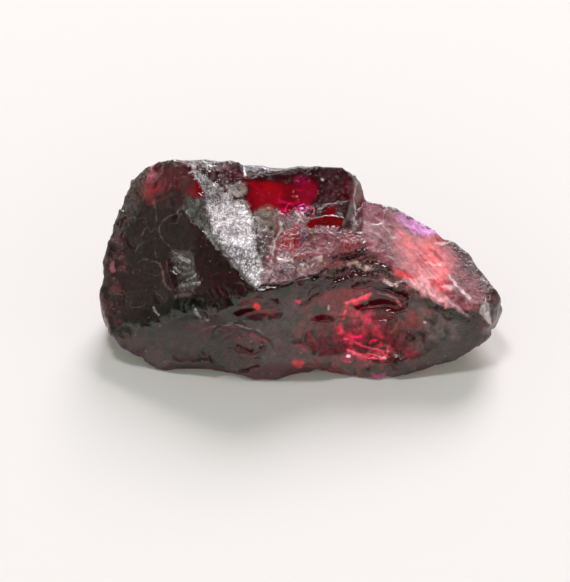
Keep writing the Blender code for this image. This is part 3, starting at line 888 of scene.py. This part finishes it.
shapes = {
    "silver face": relief(reflectionFace, 2, 0.011, 2.6),
    "silver head": relief([(193, 168), (206, 184), (232, 200), (246, 208), (226, 222), (209, 232),
        (204, 200)], 2, 0.03, 2.2, saw=0.1, steps=3.0, sawPerMm=0.9),
    "reflection wing": relief([(184, 206), (192, 198), (206, 196), (210, 222), (206, 234), (194, 221)],
        3, 0.03, 1.6, saw=0.1, steps=3.0, sawPerMm=0.8),
    "silver rim": relief([(204, 224), (212, 236), (227, 254), (254, 288), (250, 290), (236, 272),
        (214, 248)], 2, 0.04, 1.8, saw=0.1, steps=3.0, sawPerMm=0.9),
    "left strip": relief([(104, 240), (116, 186), (140, 164), (150, 172), (140, 205), (116, 250)],
        5, 0.04, 1.4, saw=0.12, steps=3.0, sawPerMm=0.6),
    "top crust": relief([(160, 157), (236, 159), (244, 170), (234, 194), (215, 190), (196, 168)], 3,
        0.02, 1.4, saw=0.05, steps=3.0, sawPerMm=0.7),
    "window": relief([(244, 172), (346, 170), (350, 226), (316, 228), (310, 208), (262, 210),
        (240, 200)], 4, 0.0, 1.0, calm=0.9),
    "beige": relief([(256, 209), (268, 206), (279, 212), (280, 230), (272, 254), (258, 254)], 4,
        0.03, 1.2, saw=0.06, steps=3.0, sawPerMm=0.7),
    "middle": relief(middleFace, 5, 0.012, 1.6, saw=0.1, steps=3.0, sawPerMm=0.45),
    "ledges": relief([(318, 258), (350, 248), (385, 258), (410, 280), (366, 282), (322, 282)], 4,
        0.03, 1.4, saw=0.22, steps=3.0, sawPerMm=0.6),
    "slope": relief(slopeFace, 4, 0.008, 1.8, saw=0.03, steps=1.0, sawPerMm=0.25),
    "ridge": relief([(380, 266), (410, 280), (450, 306), (476, 318), (472, 326), (440, 312),
        (400, 288), (378, 276)], 3, 0.05, 1.5, saw=0.14, steps=3.0, sawPerMm=0.8),
    "front chips": relief([(196, 322), (240, 318), (272, 336), (264, 366), (226, 368), (200, 354)],
        6, 0.02, 1.2, saw=0.05, steps=2.0, sawPerMm=0.4),
    "front": relief(frontFace, 6, 0.012, 0.8, saw=0.025, steps=1.0, sawPerMm=0.22),
    "left foot": relief([(178, 290), (240, 286), (256, 294), (236, 318), (176, 322)], 5, 0.02, 1.2,
        saw=0.035, steps=2.0, sawPerMm=0.45),
}

dice = random.Random(skin["seed"])
stone = buildSkin()
chipEdges(stone, dice)
flakeFaces(stone, dice)
openHollows(stone)
facing = roughen(stone)
print("stone carved")

# colours as a screen shows them; where no area lies the stone gets a faint painted light: a red
# glow for light through the stone, and a grey painted sheen over scuffed patches
paint = {
    "dark": (34, 12, 16),
    "red": (150, 26, 40),
    "redFrom": 0.4,
    "redPerMm": 0.25,
    "paintedRedLight": (40, 10, 15),
    "scuffSheen": (40, 33, 34),
    "scuffSheenFrom": -0.4,
    "scuffSheenGain": 2.5,
    "scuffSheenPerMm": 0.9,
    "foil": 0.4,
    "streak": 0.0,
    "hair": 0.5,
    "haze": 0.1,
    "hazeSwing": 0.1,
    "grit": 0.5,
    "lively": 0.7,
    "livelyPerMm": 2.6,
    "cloudPerMm": 1.3,
    "patches": (0.5, 2.0),         # what patchy takes away, evenly and with the clouds
    "paintedRedLightSwing": 2.0,
    "veinEdge": 1.3,
    "veinBend": 0.5,
    "veinBendPerMm": 0.8,
    # small painted glints scattered over the stone: how many, how strong, what colour
    "glints": 200,
    "glintStrength": (0.2, 1.0),
    "glintTone": (124, 104, 104),
}

singles = ("haze", "grit", "foil", "streak", "hair")


def tone(colour):
    values = np.array(colour, float) / 255.0
    return np.where(values <= 0.04045, values / 12.92, ((values + 0.055) / 1.055) ** 2.4)


def blend(values, near, mask, target):
    values[near] += mask[:, None] * (target - values[near])


def veinsAt(points, perMm, width):
    bend = [noiseAt(points, paint["veinBendPerMm"], shift) for shift in (51.0, 63.0, 77.0)]
    bent = points + paint["veinBend"] * np.column_stack(bend)
    return np.clip(paint["veinEdge"] - np.abs(noiseAt(bent, perMm, 23.0)) / width, 0.0, 1.0)


def paintEntry(points, near, mask, cloud, speckle, layers, entry):
    evenly, swing = paint["patches"]
    patchy = entry.get("patchy", 0.0)
    mask = mask * np.clip(1.0 - patchy * (evenly + swing * cloud[near]), 0.0, 1.0)
    mask = mask * entry.get("amount", 1.0)
    if "veins" in entry:
        mask = mask * veinsAt(points[near], entry["veins"], entry["veinWidth"])
    lively = (1.0 + entry.get("lively", paint["lively"]) * speckle[near])[:, None]
    if entry["tint"]:
        blend(layers["tint"], near, mask, tone(entry["tint"]))
    if entry["paintedLight"] or entry["tint"]:
        blend(layers["paintedLight"], near, mask, tone(entry["paintedLight"] or (0, 0, 0)) * lively)
    for name in singles:
        if name in entry:
            blend(layers[name], near, mask, np.array([entry[name]]))


def addLayer(mesh, name, values):
    if values.shape[1] == 1:
        layer = mesh.attributes.new(name, "FLOAT", "POINT")
        layer.data.foreach_set("value", values.astype(np.float32).ravel())
        return
    layer = mesh.attributes.new(name, "FLOAT_COLOR", "POINT")
    colours = np.column_stack([values, np.ones(len(values))])
    layer.data.foreach_set("color", colours.astype(np.float32).ravel())


def paintStone(stone, facing, dice):
    points = readPoints(stone.data)
    cloud = cloudAt(points, paint["cloudPerMm"], 3, 7.0)
    speckle = noiseAt(points, paint["livelyPerMm"], 5.0)
    red = np.clip(cloudAt(points, paint["redPerMm"], 3, 31.0) + paint["redFrom"], 0.0, 1.0)[:, None]
    # painted light where no area lies: a grey painted sheen on scuffed patches and a red glow for
    # light through the stone
    scuffSheenShare = cloudAt(points, paint["scuffSheenPerMm"], 3, 44.0) * paint["scuffSheenGain"]
    scuffSheenShare = np.clip(scuffSheenShare + paint["scuffSheenFrom"], 0.0, 1.0)[:, None]
    paintedRedLight = np.clip(1.0 + paint["paintedRedLightSwing"] * cloud[:, None], 0.0, 2.0)
    paintedRedLight = red * paintedRedLight * tone(paint["paintedRedLight"])
    layers = {"tint": tone(paint["dark"]) + red * (tone(paint["red"]) - tone(paint["dark"]))}
    layers["paintedLight"] = paintedRedLight + scuffSheenShare * tone(paint["scuffSheen"])
    for name in singles:
        layers[name] = np.full((len(points), 1), paint[name])
    layers["haze"] += np.abs(cloud[:, None]) * paint["hazeSwing"]
    flat = screenOf(points)
    for entries, warp in ((areas, skin["areaWarp"]), (marks, skin["markWarp"])):
        warp = warpAt(points, *warp)
        for entry in entries.values():
            near, mask, _ = maskOn(flat, warp, facing, entry)
            paintEntry(points, near, mask, cloud, speckle, layers, entry)
    # painted glints on random points
    glints = dice.sample(range(len(points)), paint["glints"])
    strength = np.array([dice.uniform(*paint["glintStrength"]) for _ in glints])
    for name in ("tint", "paintedLight"):
        blend(layers[name], glints, strength, tone(paint["glintTone"]))
    layers["paintedLight"] = np.maximum(layers["paintedLight"], 0.0)
    for name, values in layers.items():
        addLayer(stone.data, name, values)


paintStone(stone, facing, dice)
print("stone painted")

glass = {
    "ior": 1.66,
    "absorb": (0.86, 0.03, 0.10),
    "density": 900.0,
    "transmission": 0.9,
    # emission strength of the painted light
    "paintedLight": 1.0,
    "grainPerMetre": 3000.0,
    "roughSwing": 0.2,
    "leastRough": 0.02,
    "bumpStrength": 0.5,
    "bumpDistance": 0.00006,
}

# crumpled foil: thin dark strokes of two sizes over slow changes of brightness, laid over the tint
# and the painted light, where it breaks up the painted reflections
foil = {
    "perMetre": 1600.0,
    "bend": 0.00035,
    "bendPerMetre": 1800.0,
    "strokes": ((1.0, 0.06), (1.9, 0.07)),     # how much finer, and how wide
    "strokeGain": 1.35,
    "base": 0.18,
    "slowShare": 0.35,
    "slowGain": 1.6,
    "grainGain": 0.9,
    "leastGain": 0.02,
    "bump": 0.8,
}

# streaks that run down the slope
streak = {
    "along": (0.632, -0.72, -0.29),
    "outward": (0.275, -0.14, 0.951),
    "perMetre": (260.0, 4200.0, 3000.0),
    "gain": 2.4,
    "bump": 0.5,
}

# hair scratches, in worn patches, drawn as a faint painted light along each line
hair = {
    "perMetre": 430.0,
    "width": 0.008,
    "bend": 1.5,
    "wornPerMetre": 420.0,
    "wornGain": 7.0,
    "colour": (118, 98, 96),
}


def stoneMaterial():
    mat = bpy.data.materials.new("painite glass")
    mat.use_nodes = True
    nodes = mat.node_tree.nodes
    links = mat.node_tree.links
    shader = nodes["Principled BSDF"].inputs

    def give(socket, value):
        if isinstance(value, bpy.types.NodeSocket):
            links.new(value, socket)
        else:
            socket.default_value = value

    def layer(name):
        node = nodes.new("ShaderNodeAttribute")
        node.attribute_name = name
        return node.outputs["Color" if name in ("tint", "paintedLight") else "Fac"]

    def maths(operation, first, second=0.0, clamp=False):
        node = nodes.new("ShaderNodeMath")
        node.operation = operation
        node.use_clamp = clamp
        give(node.inputs[0], first)
        give(node.inputs[1], second)
        return node.outputs[0]

    def plus(first, second):
        return maths("ADD", first, second)

    def times(first, second, clamp=False):
        return maths("MULTIPLY", first, second, clamp)

    def centred(value):
        return maths("SUBTRACT", value, 0.5)

    def scaled(vector, factor):
        node = nodes.new("ShaderNodeVectorMath")
        node.operation = "SCALE"
        give(node.inputs["Vector"], vector)
        give(node.inputs["Scale"], factor)
        return node.outputs[0]

    def added(first, second):
        node = nodes.new("ShaderNodeVectorMath")
        give(node.inputs[0], first)
        give(node.inputs[1], second)
        return node.outputs[0]

    def mapped(vector, name, value):
        node = nodes.new("ShaderNodeMapping")
        node.inputs[name].default_value = value
        links.new(vector, node.inputs["Vector"])
        return node.outputs[0]

    def noiseField(vector, scale, detail, output="Fac"):
        node = nodes.new("ShaderNodeTexNoise")
        give(node.inputs["Vector"], vector)
        give(node.inputs["Scale"], scale)
        give(node.inputs["Detail"], detail)
        return node.outputs[output]

    def offLine(field, width, clamp=False):
        return maths("DIVIDE", maths("ABSOLUTE", centred(field)), width, clamp)

    coord = nodes.new("ShaderNodeTexCoord").outputs["Object"]
    grain = noiseField(coord, glass["grainPerMetre"], 5.0)
    swirl = scaled(noiseField(coord, foil["bendPerMetre"], 3.0, "Color"), foil["bend"])
    bent = added(coord, swirl)

    wide, fine = [offLine(noiseField(bent, foil["perMetre"] * finer, 2.0), width, clamp=True)
                  for finer, width in foil["strokes"]]
    strokes = times(wide, fine)
    slow = centred(noiseField(bent, foil["perMetre"] * foil["slowShare"], 2.0))
    bright = plus(times(strokes, foil["strokeGain"]), foil["base"])
    uneven = plus(times(slow, foil["slowGain"]), times(centred(grain), foil["grainGain"]))
    bright = plus(bright, uneven)
    foilGain = plus(1.0, times(layer("foil"), maths("SUBTRACT", bright, 1.0)))

    along = Vector(streak["along"]).normalized()
    outward = Vector(streak["outward"]).normalized()
    downhill = Matrix((along, outward.cross(along), outward)).to_euler()
    turned = mapped(bent, "Rotation", downhill)
    lines = noiseField(mapped(turned, "Scale", streak["perMetre"]), 1.0, 3.0)
    streakGain = plus(1.0, times(times(centred(lines), streak["gain"]), layer("streak")))
    gain = maths("MAXIMUM", times(foilGain, streakGain), foil["leastGain"])

    web = noiseField(added(coord, scaled(swirl, hair["bend"])), hair["perMetre"], 2.0)
    scratch = maths("SUBTRACT", 1.0, offLine(web, hair["width"]), clamp=True)
    worn = centred(noiseField(coord, hair["wornPerMetre"], 2.0))
    scratch = times(times(scratch, times(worn, hair["wornGain"], clamp=True)), layer("hair"))
    hairGlow = scaled(tuple(tone(hair["colour"])), scratch)

    height = times(grain, layer("grit"))
    height = plus(height, times(times(strokes, layer("foil")), foil["bump"]))
    height = plus(height, times(lines, times(layer("streak"), streak["bump"])))
    bump = nodes.new("ShaderNodeBump")
    bump.inputs["Strength"].default_value = glass["bumpStrength"]
    bump.inputs["Distance"].default_value = glass["bumpDistance"]
    links.new(height, bump.inputs["Height"])
    rough = plus(layer("haze"), times(centred(grain), glass["roughSwing"]))

    shader["IOR"].default_value = glass["ior"]
    shader["Transmission Weight"].default_value = glass["transmission"]
    shader["Emission Strength"].default_value = glass["paintedLight"]
    links.new(scaled(layer("tint"), gain), shader["Base Color"])
    links.new(added(scaled(layer("paintedLight"), gain), hairGlow), shader["Emission Color"])
    links.new(maths("MAXIMUM", rough, glass["leastRough"]), shader["Roughness"])
    links.new(bump.outputs["Normal"], shader["Normal"])
    volume = nodes.new("ShaderNodeVolumeAbsorption")
    volume.inputs["Color"].default_value = (*glass["absorb"], 1.0)
    volume.inputs["Density"].default_value = glass["density"]
    links.new(volume.outputs["Volume"], nodes["Material Output"].inputs["Volume"])
    return mat


stone.data.materials.clear()
stone.data.materials.append(stoneMaterial())
stone.data.transform(Matrix.Scale(mm, 4))
stone.data.shade_smooth()
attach(stone, "root")
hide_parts("painite_crystal")
print("stone finished")

studio = {
    "floorHalf": 3.0,
    "floorDrop": 0.00003,
    "floorColour": (0.965, 0.910, 0.915),
    "floorRough": 0.8,
    "floorShine": 0.1,
    # toward, half angle in degrees, light on the floor as a share of paper white
    "softboxes": {
        "back softbox": ((0.18, 0.84, 0.51), 13.0, 0.45),
        "top softbox": ((-0.16, 0.24, 0.957), 7.5, 0.25),
    },
    "softboxAway": 2.8,
    "skyStops": ((0.0, 0.84), (0.5, 0.8), (0.68, 0.26), (0.84, 0.02)),
    "skyTone": (0.93, 1.05, 0.88),
    "lampTone": (1.01, 0.97, 1.02),
}


def addFloor():
    bm = bmesh.new()
    bmesh.ops.create_grid(bm, x_segments=1, y_segments=1, size=studio["floorHalf"])
    bmesh.ops.translate(bm, vec=(0.0, 0.0, -studio["floorDrop"]), verts=bm.verts)
    mesh = bpy.data.meshes.new("floor")
    bm.to_mesh(mesh)
    bm.free()
    floor = addObject("floor", mesh)
    mat = bpy.data.materials.new("white paper")
    mat.use_nodes = True
    shader = mat.node_tree.nodes["Principled BSDF"].inputs
    shader["Base Color"].default_value = (*studio["floorColour"], 1.0)
    shader["Roughness"].default_value = studio["floorRough"]
    shader["Specular IOR Level"].default_value = studio["floorShine"]
    mesh.materials.append(mat)


def addSoftbox(name, toward, halfAngle, share):
    toward = Vector(toward).normalized()
    away = studio["softboxAway"]
    lamp = bpy.data.lights.new(name, "AREA")
    lamp.shape = "DISK"
    lamp.size = 2.0 * away * math.tan(math.radians(halfAngle))
    lamp.color = studio["lampTone"]
    # floor light = radiance x solid angle x cosine, radiance = power / (pi x area)
    lamp.energy = share * math.pi ** 2 * away ** 2 / toward.z
    obj = addObject(name, lamp)
    obj.location = toward * away
    obj.rotation_euler = toward.to_track_quat("Z", "Y").to_euler()


def addSky():
    world = bpy.data.worlds.new("studio air")
    world.use_nodes = True
    bpy.context.scene.world = world
    nodes = world.node_tree.nodes
    links = world.node_tree.links
    coord = nodes.new("ShaderNodeTexCoord")
    parts = nodes.new("ShaderNodeSeparateXYZ")
    ramp = nodes.new("ShaderNodeValToRGB")
    stops = ramp.color_ramp.elements
    for index, (height, bright) in enumerate(studio["skyStops"]):
        stop = stops[index] if index < 2 else stops.new(height)
        stop.position = height
        stop.color = (*[bright * part for part in studio["skyTone"]], 1.0)
    links.new(coord.outputs["Generated"], parts.inputs["Vector"])
    links.new(parts.outputs["Z"], ramp.inputs["Fac"])
    links.new(ramp.outputs["Color"], nodes["Background"].inputs["Color"])


addFloor()
for name, values in studio["softboxes"].items():
    addSoftbox(name, *values)
addSky()
print("studio ready")
